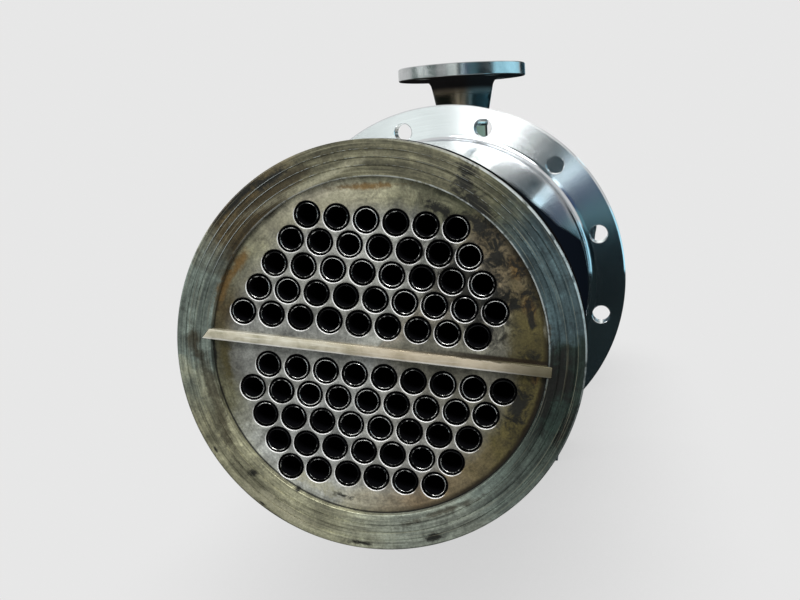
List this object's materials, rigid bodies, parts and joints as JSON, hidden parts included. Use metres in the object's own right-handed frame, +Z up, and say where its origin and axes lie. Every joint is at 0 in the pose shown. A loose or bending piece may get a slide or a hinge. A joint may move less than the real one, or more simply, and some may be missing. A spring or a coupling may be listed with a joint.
{
  "type": "shell and tube heat exchanger",
  "caption": "Horizontal stainless shell and tube heat exchanger with its front cover off, an open drilled tube plate, a bolting flange, pipe nozzles, a dished rear end and saddles.",
  "frame": {"origin": "on the floor under the middle of the whole length, on the shell's upright middle plane", "axes": "+X to the right seen from the open front, +Y back along the shell from the open tube plate to the dished end, +Z up"},
  "size_m": [0.3999, 1.5342, 0.5359],
  "materials": {
    "plate_steel": "turned, stained brown and grey",
    "partition_steel": "plain, pale",
    "tube_steel": "drawn, dull",
    "shell_steel": "turned and polished",
    "flange_steel": "face turned bright",
    "weld_steel": "ground and polished weld",
    "nozzle_steel": "turned and polished",
    "saddle_steel": "rolled sheet, dull"
  },
  "bodies": {
    "root": {"bottom_nozzle_flange": "nozzle_steel", "bottom_nozzle_neck": "nozzle_steel", "flange_weld": "weld_steel", "front_saddle_foot": "saddle_steel", "front_saddle_ribs": "saddle_steel", "front_saddle_wear_plate": "saddle_steel", "front_saddle_web": "saddle_steel", "front_shell": "shell_steel", "main_shell": "shell_steel", "pass_partition": "partition_steel", "plate_weld": "weld_steel", "rear_head": "shell_steel", "rear_saddle_foot": "saddle_steel", "rear_saddle_ribs": "saddle_steel", "rear_saddle_wear_plate": "saddle_steel", "rear_saddle_web": "saddle_steel", "rear_tube_plate": "plate_steel", "shell_flange": "flange_steel", "top_nozzle_flange": "nozzle_steel", "top_nozzle_neck": "nozzle_steel", "tube_plate": "plate_steel", "tube_row_1": "tube_steel", "tube_row_10": "tube_steel", "tube_row_2": "tube_steel", "tube_row_3": "tube_steel", "tube_row_4": "tube_steel", "tube_row_5": "tube_steel", "tube_row_6": "tube_steel", "tube_row_7": "tube_steel", "tube_row_8": "tube_steel", "tube_row_9": "tube_steel"}
  },
  "joints": []
}
